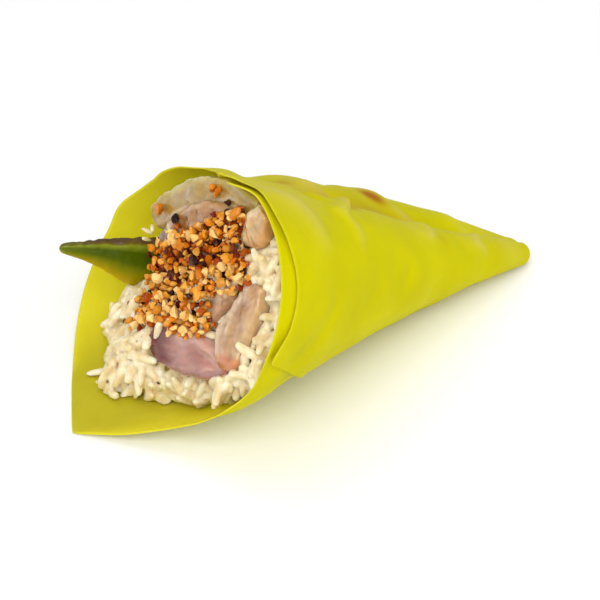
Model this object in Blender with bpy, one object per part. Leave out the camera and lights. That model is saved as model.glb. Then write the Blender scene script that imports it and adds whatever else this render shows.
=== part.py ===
"""Temaki hand roll lying on its side: a soy-paper cone with rice, fish, avocado and toasted crumbs.

The cone's tip points to +X, its mouth to -X, and the underside lies flat on z = 0.
All shapes are worked out in millimetres around the cone's apex and scaled to metres at the end.
A "turn" is an angle round the roll in degrees: 0 underside, 90 back, 180 top, 270 front.
"""
import math

import bmesh
import bpy
from mathutils import Vector, noise

MM = 0.001
APEX = Vector((76.2, 0.85, -1.2))  # the cone's ideal apex, just under the table
MEASURE_TILT = 20.9               # direction that the opening angles are measured from
FILLING_TILT = 16.0               # middle line of the filling, above the table
PAPER = 0.8                       # thickness of the rolled sheet
LAYER_GAP = 0.35                  # air between the two layers where they overlap
CLEARANCE = 0.35                  # air between the filling and the sheet under it
ROOM = 0.68                       # growth of a piece that cuts its own room out of another
TIP_TAPER = 2.0                   # how much the sheet is drawn in at the tip

SHEET_START = -150.0              # first edge of the sheet, hidden inside the roll
SHEET_END = 324.0                 # last edge of the sheet, on the front of the underside
SHEET_ROOT = 15.2                 # the sheet starts this far from the apex, inside the nose
FOLD_HEIGHT = 1.8                 # soft fold on top, where the outer layer begins
NOSE_RADIUS = 3.8
NOSE_START = 13.7
NOSE_COVER = 17.2                 # up to here the nose covers the sheet
NOSE_INSIDE = 22.2                # from here it lies inside the sheet's layers
NOSE_DEPTH = 29.0
HEAP_BOTTOM = 116.6               # where the heap of crumbs starts, and its height over that
HEAP_HEIGHT = 4.6

# turn and distance from the apex to the sheet's rim, to and from the corner at turn 0
RIM_BEFORE_CORNER = [(-150, 121.5), (-90, 127.5), (-60, 124), (-30, 127), (-12, 135.5), (0, 143.5)]
RIM_AFTER_CORNER = [(0, 143.5), (20, 135.7), (45, 127.5), (70, 119.4), (95, 111.7), (112, 110),
                    (130, 108.5), (150, 110.5), (172, 115.6), (200, 118.5), (225, 122), (237, 122),
                    (252, 121.8), (264, 123.6), (275, 126.8), (278.5, 123), (283, 117), (295, 106), (324, 86)]
# turn and how far the rim waves outwards
RIM_WAVE = [(95, 0), (113, -2), (128, -1.5), (142, 0), (156, 0.2), (170, 1.3), (185, -0.5),
            (200, -1.4), (215, 0)]
# soft dents and bumps of the rolled cone: turn, reach, half widths in both, height
DENTS = [(172, 20, 26, 7, 0.7), (172, 37, 26, 8, -1.6), (172, 54, 26, 5, -0.5), (172, 67, 26, 9, 1.0),
         (312, 30, 26, 14, -0.6), (118, 92.5, 26, 7, -2.8), (344, 74, 18, 42, 2.4)]

# turn and how far out of the mouth the rice reaches along the wall
RICE_EDGE = [(-150, 108), (-125, 112), (-100, 106), (-75, 113), (-40, 114.5), (-18, 115.5), (-6, 121),
             (4, 128), (14, 132.5), (25, 127.5), (40, 121.5), (50, 115), (65, 107), (80, 101), (110, 100),
             (210, 106)]
# turn and share of the opening that the rice fills at the mouth; the fish lies above it
RICE_SHARE = [(-150, 0.5), (-122, 0.92), (-100, 1.0), (58, 1.0), (85, 0.78), (110, 0.5), (210, 0.5)]


def axis(tilt):
    """Unit vector along the roll, tilted up from the table towards the mouth."""
    angle = math.radians(tilt)
    return Vector((-math.cos(angle), 0.0, math.sin(angle)))


def upright(tilt):
    """Unit vector across the roll, away from the table."""
    angle = math.radians(tilt)
    return Vector((math.sin(angle), 0.0, math.cos(angle)))


def smooth_curve(points, x):
    """Value at x of a smooth curve through (x, y) points, held level past the ends."""
    x = min(max(x, points[0][0]), points[-1][0])
    slopes = []
    for index in range(len(points)):
        before = points[max(index - 1, 0)]
        after = points[min(index + 1, len(points) - 1)]
        slopes.append((after[1] - before[1]) / (after[0] - before[0]))
    index = 0
    while x > points[index + 1][0]:
        index += 1
    (x0, y0), (x1, y1) = points[index], points[index + 1]
    width = x1 - x0
    t = (x - x0) / width
    return (y0 * (2 * t ** 3 - 3 * t ** 2 + 1) + slopes[index] * width * (t ** 3 - 2 * t ** 2 + t)
            + y1 * (3 * t ** 2 - 2 * t ** 3) + slopes[index + 1] * width * (t ** 3 - t ** 2))


def ease(low, high, x):
    """0 below low, 1 above high, smooth between."""
    t = min(max((x - low) / (high - low), 0.0), 1.0)
    return t * t * (3 - 2 * t)


def opening_angle(turn):
    """Angle in degrees between the measuring direction and the wall."""
    t = math.radians(turn)
    return (16.8 + 5.2 * math.cos(t) - 0.3 * math.sin(t)
            - 1.9 * math.cos(2 * t) + 2.3 * math.sin(2 * t))


def belly(turn, reach):
    """How far the wall stands out from a straight cone: a swelling, a drawn-in tip and dents."""
    t = math.radians(turn)
    swell = 0.8 + 0.9 * math.cos(t) + 4.6 * math.sin(t) - 1.7 * math.cos(2 * t) + 1.2 * math.sin(2 * t)
    total = swell * math.sin(math.pi * min(reach / 118.0, 1.0)) ** 1.3
    total -= TIP_TAPER * math.exp((NOSE_START - reach) / 22)
    for dent_turn, dent_reach, turn_width, reach_width, height in DENTS:
        apart = (turn - dent_turn + 180) % 360 - 180
        total += height * math.exp(-(apart / turn_width) ** 2 - ((reach - dent_reach) / reach_width) ** 2)
    return total + smooth_curve(RIM_WAVE, turn % 360) * ease(86, 114, reach)


def wall_point(turn, reach, lift=0.0, share=1.0, floor=0.0):
    """Point on the cone wall, or inside it at a share of the opening, kept above the floor."""
    t = math.radians(turn)
    outward = -math.cos(t) * upright(MEASURE_TILT) + Vector((0.0, math.sin(t), 0.0))
    angle = math.radians(opening_angle(turn)) * share
    point = APEX + reach * (math.cos(angle) * axis(MEASURE_TILT) + math.sin(angle) * outward)
    point += (lift + share * belly(turn, reach)) * outward
    point.z = max(point.z, floor)
    return point


def inner_point(along, side, height):
    """Point given along the filling's middle line, towards the back and upwards across it."""
    return APEX + along * axis(FILLING_TILT) + side * Vector((0, 1, 0)) + height * upright(FILLING_TILT)


def layer_lift(turn, reach):
    """How far the sheet stands out where it comes round over its own first part.

    It steps out by one layer, and a soft fold stands up just where the step begins.
    """
    fold = FOLD_HEIGHT * math.exp(-((turn - 190) / 15) ** 2 - ((reach - 100) / 15) ** 2)
    return (PAPER + LAYER_GAP) * ease(165, 204, turn) + fold


def rim(turn):
    """Distance from the apex to the sheet's rim."""
    return smooth_curve(RIM_BEFORE_CORNER if turn < 0 else RIM_AFTER_CORNER, turn)


def make_object(name, points, faces, material):
    """A closed mesh object from points in millimetres, with its faces turned outwards."""
    mesh = bpy.data.meshes.new(name)
    mesh.from_pydata([point * MM for point in points], [], faces)
    form = bmesh.new()
    form.from_mesh(mesh)
    bmesh.ops.recalc_face_normals(form, faces=form.faces)
    bmesh.ops.triangulate(form, faces=form.faces)
    form.to_mesh(mesh)
    form.free()
    mesh.shade_smooth()
    mesh.set_sharp_from_angle(angle=math.radians(40))
    mesh.materials.append(material)
    piece = bpy.data.objects.new(name, mesh)
    bpy.context.collection.objects.link(piece)
    return piece


def fan(points, base, count):
    """Close a round ring by triangles round its middle point, which is added to the points."""
    middle = len(points)
    points.append(sum(points[base:base + count], Vector()) / count)
    return [(base + k, base + (k + 1) % count, middle) for k in range(count)]


def ladder(points, base, count):
    """Close a long ring of two facing rows by rungs, with a tip point after each row."""
    half = count // 2 - 1
    faces = [(base + k, base + k + 1, base + count - 3 - k, base + count - 2 - k) for k in range(half - 1)]
    faces.append((base + half - 1, base + half, base + half + 1))
    faces.append((base + count - 2, base + count - 1, base))
    return faces


def rungs(points, base, count):
    """Close a long ring of two facing rows without tips."""
    return [(base + k, base + k + 1, base + count - 2 - k, base + count - 1 - k)
            for k in range(count // 2 - 1)]


def loft(name, rings, material, close=fan):
    """Closed solid through rings of equally many points, with its two ends closed."""
    count = len(rings[0])
    points = [point for ring in rings for point in ring]
    faces = []
    for row in range(len(rings) - 1):
        for k in range(count):
            a, b = row * count + k, row * count + (k + 1) % count
            faces.append((a, b, b + count, a + count))
    faces += close(points, 0, count)
    faces += close(points, (len(rings) - 1) * count, count)
    return make_object(name, points, faces, material)


def union(piece, other):
    """Join another solid into this one and drop it."""
    join = piece.modifiers.new("join", "BOOLEAN")
    join.operation = "UNION"
    join.solver = "EXACT"
    join.object = other
    other.hide_render = True
    other.display_type = "WIRE"


def cut(piece, cutter):
    """Cut a grown neighbour out of this piece, which leaves the clearance between them."""
    trim = piece.modifiers.new("trim", "BOOLEAN")
    trim.operation = "DIFFERENCE"
    trim.solver = "EXACT"
    trim.object = cutter
    cutter.hide_render = True
    cutter.display_type = "WIRE"


def island(start):
    """All points joined to this one by edges."""
    found = {start}
    open_ends = [start]
    while open_ends:
        point = open_ends.pop()
        for edge in point.link_edges:
            other = edge.other_vert(point)
            if other not in found:
                found.add(other)
                open_ends.append(other)
    return found


def drop_offcuts(piece):
    """Apply the cuts and keep the main body, without the thin offcuts between two slices."""
    graph = bpy.context.evaluated_depsgraph_get()
    trimmed = bpy.data.meshes.new_from_object(piece.evaluated_get(graph))
    form = bmesh.new()
    form.from_mesh(trimmed)
    main = set()
    for point in form.verts:
        if point not in main:
            group = island(point)
            main = group if len(group) > len(main) else main
    bmesh.ops.delete(form, geom=[point for point in form.verts if point not in main], context="VERTS")
    form.to_mesh(trimmed)
    form.free()
    piece.modifiers.clear()
    piece.data = trimmed


def surface(name, colour, roughness):
    """Plain material with the part's own colour."""
    material = bpy.data.materials.new(name)
    material.use_nodes = True
    shader = material.node_tree.nodes["Principled BSDF"]
    shader.inputs["Base Color"].default_value = (*colour, 1.0)
    shader.inputs["Roughness"].default_value = roughness
    shader.inputs["Metallic"].default_value = 0.0
    return material


def sheet_end(reach):
    """Turn of the sheet's last edge, which winds up to the front near the tip."""
    return SHEET_END - 34 * (1 - ease(15, 47, reach))


def sheet_columns():
    """Shares of the way from the first edge to the corner and from there to the last edge."""
    return [k / 26 - 1 for k in range(26)] + [k / 56 for k in range(57)]


def make_wrap():
    """The rolled sheet, with its layers grown together in a rounded nose."""
    material = surface("soy_paper", (0.62, 0.57, 0.01), 0.55)
    row_shares = (0, 0.07, 0.15, 0.22, 0.3, 0.39, 0.49, 0.61, 0.74, 0.84, 1)
    sections = []
    for share in sheet_columns():
        rim_turn = share * (-SHEET_START if share < 0 else SHEET_END)
        inner = []
        outer = []
        for row_share in row_shares:
            reach = SHEET_ROOT + (rim(rim_turn) - SHEET_ROOT) * row_share
            turn = rim_turn if share < 0 else share * sheet_end(reach)
            lift = layer_lift(turn, reach)
            inner.append(wall_point(turn, reach, lift, floor=PAPER))
            outer.append(wall_point(turn, reach, lift + PAPER))
        sections.append(inner + outer[::-1])
    wrap = loft("wrap", sections, material, rungs)
    union(wrap, make_nose(material))
    return wrap


def nose_ring(reach):
    """Ring round the tip: outside the sheet at the very tip, inside its layers further in."""
    ring = []
    for k in range(36):
        turn = 10.0 * k
        end = sheet_end(reach)
        doubled = ease(165, 204, turn) * (1 - ease(end - 4, end + 20, turn))
        cover = (PAPER / 2 + 0.15) * (1 - ease(NOSE_COVER, NOSE_INSIDE, reach))
        lift = PAPER / 2 + (PAPER + LAYER_GAP) * doubled + cover
        ring.append(wall_point(turn, reach, lift, floor=0.3))
    return ring


def make_nose(material):
    """Solid rounded tip that the layers of the sheet run into."""
    first = nose_ring(NOSE_START)
    middle = sum(first, Vector()) / len(first)
    rings = []
    for angle in (75, 50, 25):
        bend = math.radians(angle)
        centre = middle - NOSE_RADIUS * math.sin(bend) * axis(FILLING_TILT)
        rings.append([centre + math.cos(bend) * (point - middle) for point in first])
    rings.append(first)
    rings += [nose_ring(reach) for reach in (NOSE_COVER, NOSE_INSIDE, NOSE_DEPTH)]
    return loft("nose", rings, material)


def ribbon(spine, half_widths, grow):
    """Closed outline in the mouth plane round a bent spine, as (side, height) pairs."""
    steps = 5
    knots = list(range(len(spine)))
    side = list(zip(knots, [point[0] for point in spine]))
    height = list(zip(knots, [point[1] for point in spine]))
    widths = list(zip(knots, half_widths))
    left, right = [], []
    for k in range(steps + 1):
        t = knots[-1] * k / steps
        step = 0.05
        run = smooth_curve(side, t + step) - smooth_curve(side, t - step)
        rise = smooth_curve(height, t + step) - smooth_curve(height, t - step)
        length = math.hypot(run, rise)
        across = (-rise / length, run / length)
        half = max(smooth_curve(widths, t) + grow, 0.3)
        here = (smooth_curve(side, t), smooth_curve(height, t))
        left.append((here[0] + across[0] * half, here[1] + across[1] * half))
        right.append((here[0] - across[0] * half, here[1] - across[1] * half))
    start, end = Vector(spine[0]), Vector(spine[-1])
    first = start + (start - Vector(spine[1])).normalized() * max(half_widths[0] * 0.6 + grow, 0.1)
    last = end + (end - Vector(spine[-2])).normalized() * max(half_widths[-1] * 0.6 + grow, 0.1)
    return left + [tuple(last)] + right[::-1] + [tuple(first)]


def make_slice(name, spine, half_widths, front, slope, depth, material, grow=0.0):
    """A slice of fish: a bent ribbon at the mouth, with a rounded edge, running into the roll.

    front is how far out the slice reaches at its middle, slope how much further per millimetre
    towards the back and upwards.
    """
    middle = spine[len(spine) // 2]
    rings = []
    stations = [(-depth - grow, 0.0), (-2.6, 0.0), (-1.0 + grow, 0.5), (grow, 1.3)]
    for offset, inset in stations:
        ring = []
        for side, height in ribbon(spine, half_widths, grow - inset):
            tilt = slope[0] * (side - middle[0]) + slope[1] * (height - middle[1])
            along = front + offset + tilt
            scale = along / front
            ring.append(inner_point(along, side * scale, height * scale))
        rings.append(ring)
    return loft(name, rings, material, ladder)


# name, spine as (side, height) at the mouth, half widths, front, slope, depth
SLICES = [
    ("fish_1", [(28, 3.5), (21.5, 11), (13, 18.8), (2, 24.8), (-9, 26.8)], [2.4, 3.1, 3.1, 2.8, 2.2],
     110.5, (-0.05, 0.0), 10),
    ("fish_2", [(19.5, 3.5), (14.5, 8.5), (8.5, 13.5), (1, 18.2), (-7, 20.6)], [2.0, 2.4, 2.8, 2.8, 2.2],
     112.5, (-0.05, 0.0), 26),
    ("fish_3", [(-19.5, 29.5), (-18.8, 26.5), (-17.5, 23)], [2.6, 4.2, 3.0], 114.0, (0.0, 0.0), 26),
    ("fish_4", [(-21, 12.5), (-21.3, 6.5), (-19.6, 0.8), (-18.6, -2.8), (-18.8, -5.8)],
     [2.8, 4.4, 4.6, 4.0, 2.2], 114.0, (0.1, 0.0), 32),
    ("fish_5", [(0, -13.5), (-6.5, -12.8), (-14, -12.2), (-22, -11.6)], [4.2, 5.4, 3.8, 1.6],
     118.0, (0.15, 0.0), 36),
    ("fish_6", [(13, 2.2), (4, 6.4), (-5, 9.8), (-12.4, 15.2)], [2.4, 3.0, 3.0, 2.2],
     113.5, (0.0, 0.0), 34),
    ("fish_7", [(15, -2.6), (9, -4.6), (2, -3.8), (-5, -1.8)], [2.2, 3.0, 3.0, 2.6],
     113.5, (0.0, 0.0), 28),
    ("fish_8", [(-14.4, 7.6), (-11.6, 3.2), (-10.8, -1.5)], [1.4, 1.9, 1.6], 115.5, (0.0, 0.0), 26),
]


def make_fish():
    """All slices, and a grown copy of each for cutting its neighbours."""
    material = surface("raw_fish", (0.62, 0.42, 0.30), 0.3)
    slices = []
    cutters = []
    for name, spine, half_widths, front, slope, depth in SLICES:
        form = (spine, half_widths, front, slope, depth, material)
        slices.append(make_slice(name, *form))
        cutters.append(make_slice(name + "_room", *form, grow=ROOM))
    return slices, cutters


# along, side, height, half height, top half width, bottom half width
AVOCADO_SECTIONS = [
    (92, 19.5, -5.5, 5.8, 2.6, 1.3),
    (108, 22.8, -6.6, 6.9, 2.8, 1.5),
    (115, 24.2, -6.6, 6.6, 2.6, 1.4),
    (122, 26.2, -5.6, 4.7, 2.3, 1.2),
    (128, 27.6, -4.6, 2.9, 1.8, 0.9),
    (133, 28.6, -4.0, 1.3, 1.0, 0.6),
    (134.6, 28.9, -3.8, 0.5, 0.5, 0.4),
]


def make_avocado(name, material, grow=0.0):
    """A lengthwise slice of avocado: broad skin side on top, narrow inner edge below, pointed end."""
    rings = []
    for number, section in enumerate(AVOCADO_SECTIONS):
        along, side, height, half_height, top, bottom = section
        if number == 0:
            along -= grow
        if number == len(AVOCADO_SECTIONS) - 1:
            along += grow
        ring = []
        for k in range(14):
            t = 2 * math.pi * k / 14
            rise = math.sin(t)
            half_width = bottom + (top - bottom) * (1 + rise) / 2
            across = math.copysign(abs(math.cos(t)) ** 0.8, math.cos(t)) * (half_width + grow)
            ring.append(inner_point(along, side + across, height + rise * (half_height + grow)))
        rings.append(ring)
    return loft(name, rings, material)


def rough(point, size, strength):
    """Uneven relief of the given grain size."""
    return strength * noise.noise(point / size)


def make_rice():
    """The bed of rice: it fills the cone under the fish and spills out over the sheet's corner."""
    material = surface("cooked_rice", (0.80, 0.70, 0.45), 0.5)
    columns = 64
    floor = PAPER + CLEARANCE
    turns = [SHEET_START + 360.0 * k / columns for k in range(columns)]
    edge = []
    rings = []
    for depth_share in (0.3, 0.37, 0.45, 0.56, 0.7, 0.83, 0.93, 1.0):
        ring = []
        for turn in turns:
            reach = smooth_curve(RICE_EDGE, turn) * depth_share
            inset = -CLEARANCE - 0.5 - 0.7 * (1 - ease(35, 70, reach))
            free = 1 - min(smooth_curve(RICE_SHARE, turn), 1.0)
            share = 1 - free * ease(50, 88, reach)
            ring.append(wall_point(turn, reach, inset, share, floor))
        rings.append(ring)
        edge = ring
    middle = inner_point(112.5, -3, -2)
    for ring_share in (0.88, 0.72, 0.55, 0.38, 0.2):
        ring = []
        for point in edge:
            here = middle + (point - middle) * ring_share
            swell = 4.0 * math.sqrt(1 - ring_share ** 2)
            here += (swell - 2.0 + rough(here, 4.5, 1.8)) * axis(FILLING_TILT)
            here.z = max(here.z, floor)
            ring.append(here)
        rings.append(ring)
    return loft("rice", rings, material)


CRUMBLE_OUTLINE = [(15, 2.5), (9, 9.5), (1, 17), (-7, 23), (-14, 24), (-20.5, 20), (-20, 11), (-13, 3.5),
                   (-13, -5), (-3, -8.5), (7, -14), (16, -15), (16, -6)]


def make_crumble(name, material, grow=0.0):
    """Heap of toasted crumbs over the middle of the filling."""
    middle = Vector((-2.5, 4.0))
    columns = 3 * len(CRUMBLE_OUTLINE)
    closed = CRUMBLE_OUTLINE + [CRUMBLE_OUTLINE[0]]
    side = list(enumerate([point[0] for point in closed]))
    height = list(enumerate([point[1] for point in closed]))
    outline = [Vector((smooth_curve(side, k / 3), smooth_curve(height, k / 3))) for k in range(columns)]
    rings = []
    for ring_share, front in ((0.35, 0.0), (0.75, 0.0), (1.0, 0.0), (1.0, 0.3), (0.86, 0.75), (0.6, 0.95),
                              (0.3, 1.0)):
        ring = []
        for point in outline:
            here = middle.lerp(point, ring_share) + (point - middle).normalized() * grow
            base = HEAP_BOTTOM - 3.2 * ring_share ** 2
            along = base + front * HEAP_HEIGHT + (grow if front else -grow)
            spot = inner_point(along, here.x, here.y)
            if front > 0.5:
                spot += rough(spot, 3.0, 1.2) * axis(FILLING_TILT)
            ring.append(spot)
        rings.append(ring)
    return loft(name, rings, material)


def main():
    for old in list(bpy.data.objects):
        bpy.data.objects.remove(old)
    make_wrap()
    slices, fish_room = make_fish()
    skin = surface("avocado", (0.11, 0.17, 0.01), 0.35)
    make_avocado("avocado", skin)
    avocado_room = make_avocado("avocado_room", skin, ROOM)
    rice = make_rice()
    crumbs = surface("toasted_crumbs", (0.46, 0.17, 0.03), 0.6)
    crumble = make_crumble("crumble", crumbs)
    crumble_room = make_crumble("crumble_room", crumbs, ROOM)
    for room in fish_room + [avocado_room]:
        cut(rice, room)
        cut(crumble, room)
    cut(rice, crumble_room)
    drop_offcuts(rice)
    drop_offcuts(crumble)


main()
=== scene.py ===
"""Looks of the temaki hand roll: soy paper, rice grains, fish, avocado and toasted crumbs.

Shapes are worked out in millimetres around the cone's apex and scaled to metres at the end.
A "turn" is an angle round the roll in degrees: 0 underside, 90 back, 180 top, 270 front.
"Along", "side" and "height" are places on the filling's middle line, to the back and up across it.
"""
import math
import random

import bmesh
import bpy
import numpy as np
from mathutils import Matrix, Vector, noise
from mathutils.bvhtree import BVHTree


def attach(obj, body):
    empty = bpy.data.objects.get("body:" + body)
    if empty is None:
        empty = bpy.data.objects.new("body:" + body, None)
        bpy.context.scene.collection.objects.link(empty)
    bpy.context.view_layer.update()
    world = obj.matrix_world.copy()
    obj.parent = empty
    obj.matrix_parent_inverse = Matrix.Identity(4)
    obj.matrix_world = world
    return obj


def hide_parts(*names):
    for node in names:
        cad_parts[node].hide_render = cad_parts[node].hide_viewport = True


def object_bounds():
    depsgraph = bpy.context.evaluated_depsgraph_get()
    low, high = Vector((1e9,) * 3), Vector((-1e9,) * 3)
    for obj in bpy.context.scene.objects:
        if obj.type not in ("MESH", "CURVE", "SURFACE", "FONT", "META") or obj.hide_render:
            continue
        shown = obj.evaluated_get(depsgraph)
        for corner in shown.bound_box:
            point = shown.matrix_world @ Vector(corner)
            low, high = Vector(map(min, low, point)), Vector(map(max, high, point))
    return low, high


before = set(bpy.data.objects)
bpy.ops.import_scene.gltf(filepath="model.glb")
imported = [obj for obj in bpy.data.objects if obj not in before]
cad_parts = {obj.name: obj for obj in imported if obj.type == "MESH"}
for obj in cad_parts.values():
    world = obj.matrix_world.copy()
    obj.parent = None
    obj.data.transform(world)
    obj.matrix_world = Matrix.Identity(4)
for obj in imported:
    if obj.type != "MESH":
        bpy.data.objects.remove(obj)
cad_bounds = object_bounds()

MM = 0.001
CAD_LOW = np.array(cad_bounds[0]) / MM
CAD_HIGH = np.array(cad_bounds[1]) / MM
APEX = np.array([CAD_HIGH[0] + 8.6, 0.85, -1.2])
MEASURE_TILT = 20.9
FILLING_TILT = 16.0
PAPER = 0.8
SHEET_THICKNESS = 0.35
LAYER_GAP = 0.35
SHEET_START = -163.0
SHEET_END = 324.0
NOSE_START = 13.7
NOSE_RADIUS = 3.8
TIP_TAPER = 0.7
FOLD_HEIGHT = 1.8

# turn and distance from the apex to the sheet's rim, to and from the corner at turn 0
RIM_BEFORE_CORNER = [(-150, 121.5), (-90, 127.5), (-60, 124), (-30, 127), (-12, 135.5), (0, 143.5)]
RIM_AFTER_CORNER = [(0, 143.5), (20, 135.7), (45, 127.5), (68, 120), (77, 118.3), (84, 114.6), (90, 112.3), (95, 111.7), (112, 110),
                    (130, 108.5), (150, 110.5), (172, 115.6), (200, 118.5), (225, 122), (237, 122),
                    (252, 121.8), (264, 123.6), (275, 126.8), (278.5, 123), (283, 117), (295, 106), (324, 86)]
# turn and how far the rim waves outwards
RIM_WAVE = [(95, 0), (113, -2), (128, -1.5), (142, 0), (156, 0.2), (170, 1.3), (185, -0.5),
            (200, -1.4), (215, 0)]
# soft dents and bumps of the rolled cone: turn, reach, half widths in both, height
DENTS = [(172, 20, 26, 7, 0.7), (172, 37, 26, 8, -1.6), (172, 54, 26, 5, -0.5), (172, 67, 26, 9, 1.0),
         (312, 30, 26, 14, -0.6), (118, 92.5, 26, 7, -2.8), (344, 74, 18, 42, 2.4)]
# turn and how far out of the mouth the rice reaches along the wall
RICE_EDGE = [(-150, 110), (-125, 115), (-100, 112), (-75, 116), (-55, 116), (-40, 114.5), (-18, 115.5),
             (-6, 121), (4, 128), (14, 132.5), (25, 127.5), (40, 121.5), (50, 115), (65, 107), (80, 101),
             (110, 100), (210, 106)]
# turn and share of the opening that the rice fills at the mouth; the fish lies above it
RICE_SHARE = [(-150, 0.5), (-122, 0.92), (-100, 1.0), (58, 1.0), (85, 0.78), (110, 0.5), (210, 0.5)]
# heaps and hollows of the rice: side, height, radius, how far out of the mouth
RICE_LUMPS = [(17, 1, 3.5, 112), (-25, 19, 6.5, 114.5), (-31, 7, 4.5, 108.5), (-26, 3, 4, 112.5), (-28, -5, 7, 115.5),
              (-24, -14, 5, 117), (-8, -21, 5, 117), (18, -15, 6, 117)]


# ---------------------------------------------------------------- geometry of the cone

def axis(tilt):
    """Unit vector along the roll, tilted up from the table towards the mouth."""
    angle = math.radians(tilt)
    return np.array([-math.cos(angle), 0.0, math.sin(angle)])


def upright(tilt):
    """Unit vector across the roll, away from the table."""
    angle = math.radians(tilt)
    return np.array([math.sin(angle), 0.0, math.cos(angle)])


BACK = np.array([0.0, 1.0, 0.0])


def smooth_curve(points, x):
    """Values at x of a smooth curve through (x, y) points, held level past the ends."""
    xs, ys = np.array(points, float).T
    slopes = np.empty_like(ys)
    slopes[1:-1] = (ys[2:] - ys[:-2]) / (xs[2:] - xs[:-2])
    slopes[0] = (ys[1] - ys[0]) / (xs[1] - xs[0])
    slopes[-1] = (ys[-1] - ys[-2]) / (xs[-1] - xs[-2])
    x = np.clip(np.asarray(x, float), xs[0], xs[-1])
    i = np.clip(np.searchsorted(xs, x) - 1, 0, len(xs) - 2)
    width = xs[i + 1] - xs[i]
    t = (x - xs[i]) / width
    return (ys[i] * (2 * t ** 3 - 3 * t ** 2 + 1) + slopes[i] * width * (t ** 3 - 2 * t ** 2 + t)
            + ys[i + 1] * (3 * t ** 2 - 2 * t ** 3) + slopes[i + 1] * width * (t ** 3 - t ** 2))


def ease(low, high, x):
    """0 below low, 1 above high, smooth between."""
    t = np.clip((np.asarray(x, float) - low) / (high - low), 0.0, 1.0)
    return t * t * (3 - 2 * t)


def opening_angle(turn):
    """Angle in degrees between the measuring direction and the wall."""
    t = np.radians(turn)
    return 16.8 + 5.2 * np.cos(t) - 0.3 * np.sin(t) - 1.9 * np.cos(2 * t) + 2.3 * np.sin(2 * t)


def belly(turn, reach):
    """How far the wall stands out from a straight cone: a swelling, a drawn-in tip and dents."""
    t = np.radians(turn)
    swell = 0.8 + 0.9 * np.cos(t) + 4.6 * np.sin(t) - 1.7 * np.cos(2 * t) + 1.2 * np.sin(2 * t)
    total = swell * np.sin(np.pi * np.clip(reach / 118.0, 0.0, 1.0)) ** 1.3
    total = total - TIP_TAPER * np.exp((NOSE_START - np.asarray(reach, float)) / 22)
    for dent_turn, dent_reach, turn_width, reach_width, height in DENTS:
        apart = (turn - dent_turn + 180) % 360 - 180
        total = total + height * np.exp(-(apart / turn_width) ** 2 - ((reach - dent_reach) / reach_width) ** 2)
    return total + smooth_curve(RIM_WAVE, np.mod(turn, 360)) * ease(86, 114, reach)


def outward(turn):
    """Directions straight out of the roll at these turns."""
    t = np.radians(np.asarray(turn, float))[..., None]
    return -np.cos(t) * upright(MEASURE_TILT) + np.sin(t) * BACK


def wall_points(turn, reach, lift=0.0, share=1.0):
    """Points on the cone wall, or inside it at a share of the opening."""
    out = outward(turn)
    angle = (np.radians(opening_angle(turn)) * share)[..., None]
    reach = np.asarray(reach, float)
    points = APEX + reach[..., None] * (np.cos(angle) * axis(MEASURE_TILT) + np.sin(angle) * out)
    return points + (np.asarray(lift + share * belly(turn, reach)))[..., None] * out


def rest_on_table(points, floor=0.0, softness=0.5):
    """Flatten what would reach below the floor, with a soft bend where it lifts off."""
    z = points[..., 2] - floor
    points[..., 2] = floor + 0.5 * (z + np.sqrt(z * z + softness ** 2)) - 0.02
    return points


def inner_points(along, side, height):
    """Points given along the filling's middle line, towards the back and upwards across it."""
    along, side, height = (np.asarray(value, float)[..., None] for value in (along, side, height))
    return APEX + along * axis(FILLING_TILT) + side * BACK + height * upright(FILLING_TILT)


def keep_inside(points, margin):
    """Press points that reach past the sheet's inner face back onto it."""
    rel = points - APEX
    along = rel @ axis(MEASURE_TILT)
    down = -(rel @ upright(MEASURE_TILT))
    turn = np.degrees(np.arctan2(rel[..., 1], down))
    radius = np.hypot(down, rel[..., 1])
    reach = along / np.cos(np.radians(opening_angle(turn)))
    limit = along * np.tan(np.radians(opening_angle(turn))) + belly(turn, reach) - margin
    pull = np.maximum(radius - limit, 0.0)
    points = points - pull[..., None] * outward(turn)
    low = PAPER + margin
    points[..., 2] = np.maximum(points[..., 2], low)
    return points


# ---------------------------------------------------------------- meshes

def new_object(name, points, faces, smooth=True):
    """Mesh object from points in millimetres."""
    mesh = bpy.data.meshes.new(name)
    mesh.from_pydata(np.asarray(points, float).reshape(-1, 3) * MM, [], faces)
    mesh.update()
    if smooth:
        mesh.shade_smooth()
    piece = bpy.data.objects.new(name, mesh)
    bpy.context.collection.objects.link(piece)
    return piece


def grid_faces(rows, columns, closed=False):
    """Quads of a grid of points stored row by row; a closed grid joins its last column to the first."""
    faces = []
    for row in range(rows - 1):
        for k in range(columns if closed else columns - 1):
            a, b = row * columns + k, row * columns + (k + 1) % columns
            faces.append((a, b, b + columns, a + columns))
    return faces


def orient_outwards(piece):
    """Turn all faces of a closed piece outwards."""
    form = bmesh.new()
    form.from_mesh(piece.data)
    bmesh.ops.recalc_face_normals(form, faces=form.faces)
    form.to_mesh(piece.data)
    form.free()


def paint(piece, name, values):
    """Store one value per point, or one colour per point, as an attribute for the material."""
    values = np.asarray(values, float)
    if values.ndim == 1:
        layer = piece.data.attributes.new(name, "FLOAT", "POINT")
        layer.data.foreach_set("value", values)
    else:
        layer = piece.data.color_attributes.new(name, "FLOAT_COLOR", "POINT")
        layer.data.foreach_set("color", np.hstack([values, np.ones((len(values), 1))]).ravel())


def relief(points, size, strength, octaves=3):
    """Smooth noise at each point, as one value per point."""
    flat = np.asarray(points).reshape(-1, 3) / size
    values = [noise.fractal(Vector(point), 1.0, 2.0, octaves) for point in flat]
    return strength * np.array(values).reshape(points.shape[:-1])


# ---------------------------------------------------------------- soy paper

CREASE_DEPTH = 1.35
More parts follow.
